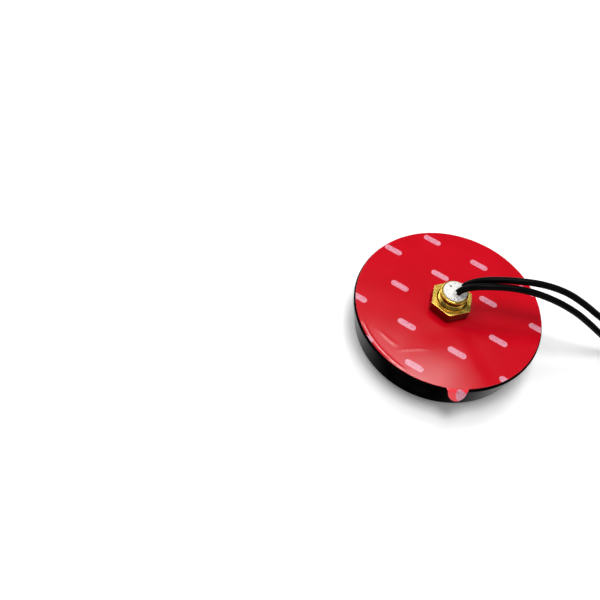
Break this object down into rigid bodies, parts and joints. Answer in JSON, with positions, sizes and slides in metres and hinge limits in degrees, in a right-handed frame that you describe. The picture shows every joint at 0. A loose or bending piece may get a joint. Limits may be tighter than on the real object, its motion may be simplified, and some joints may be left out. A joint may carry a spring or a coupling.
{
  "type": "puck antenna",
  "caption": "Round stud-mounted puck antenna for satellite positioning and cellular, with a peel-off adhesive face, threaded brass stud and nut, and coiled coaxial cables with screw-on plugs.",
  "frame": {"origin": "centre of the crown's flat face, on the surface that the puck lies on, on the stud's axis", "axes": "+Z along the stud away from the crown, as the puck lies upside down in the picture; the cables leave towards +X"},
  "size_m": [0.1829, 0.0883, 0.0398],
  "materials": {
    "black_plastic": "satin moulded",
    "black_rubber": "matt",
    "grey_foam": "matt closed-cell foam",
    "red_film": "glossy release film",
    "brass": "turned and polished",
    "white_potting": "cast, slightly pitted",
    "green_board": "solder mask",
    "ceramic": "fired ceramic",
    "tape": "matt",
    "steel": "plated",
    "chip_black": "matt moulding",
    "cable_jacket": "satin extruded",
    "tie_black": "satin",
    "gold_plate": "gold plated",
    "white_insulator": "smooth"
  },
  "bodies": {
    "antenna": {"radome": "black_plastic", "base_plate": "black_plastic", "rim_gasket": "black_rubber", "foam_pad": "grey_foam", "release_liner": "red_film", "threaded_stud": "brass", "potting": "white_potting", "main_board": "green_board", "patch_antenna": "ceramic", "patch_tape": "tape", "feed_pin": "steel", "shield_can": "steel", "lna_chip": "chip_black", "saw_filter": "chip_black", "cellular_radiator": "steel", "cover_screw_1": "steel", "cover_screw_2": "steel", "cover_screw_3": "steel", "cover_screw_4": "steel", "board_screw_1": "steel", "board_screw_2": "steel", "board_screw_3": "steel", "gnss_pigtail": "cable_jacket", "cellular_pigtail": "cable_jacket", "gnss_cable": "cable_jacket", "cellular_cable": "cable_jacket", "gnss_coil": "cable_jacket", "cellular_coil": "cable_jacket", "cable_tie": "tie_black", "gnss_plug_sleeve": "black_rubber", "gnss_plug_body": "gold_plate", "gnss_plug_insulator": "white_insulator", "gnss_plug_pin": "gold_plate", "cellular_plug_sleeve": "black_rubber", "cellular_plug_body": "gold_plate", "cellular_plug_insulator": "white_insulator", "cellular_plug_pin": "gold_plate"},
    "washer": {"lock_washer": "brass"},
    "nut": {"hex_nut": "brass"},
    "gnss_coupling": {"gnss_coupling_nut": "gold_plate"},
    "cellular_coupling": {"cellular_coupling_nut": "gold_plate"}
  },
  "joints": [
    {"name": "nut_travel", "type": "slide", "parent": "antenna", "child": "washer", "axis": [0, 0, 1], "range_m": [0, 0.0045]},
    {"name": "nut_turn", "type": "hinge", "parent": "washer", "child": "nut", "pos_m": [0, 0, 0.0188], "axis": [0, 0, 1], "range_deg": [0, 1620]},
    {"name": "gnss_coupling_turn", "type": "hinge", "parent": "antenna", "child": "gnss_coupling", "pos_m": [0.1383, -0.03, 0.00492], "axis": [0, -1, 0], "continuous": true},
    {"name": "cellular_coupling_turn", "type": "hinge", "parent": "antenna", "child": "cellular_coupling", "pos_m": [0.11859, -0.01029, 0.03122], "axis": [0, -1, 0], "continuous": true}
  ],
  "couplings": [
    {"joint": "nut_travel", "follows": "nut_turn", "m_per_rad": 0.00015915}
  ]
}
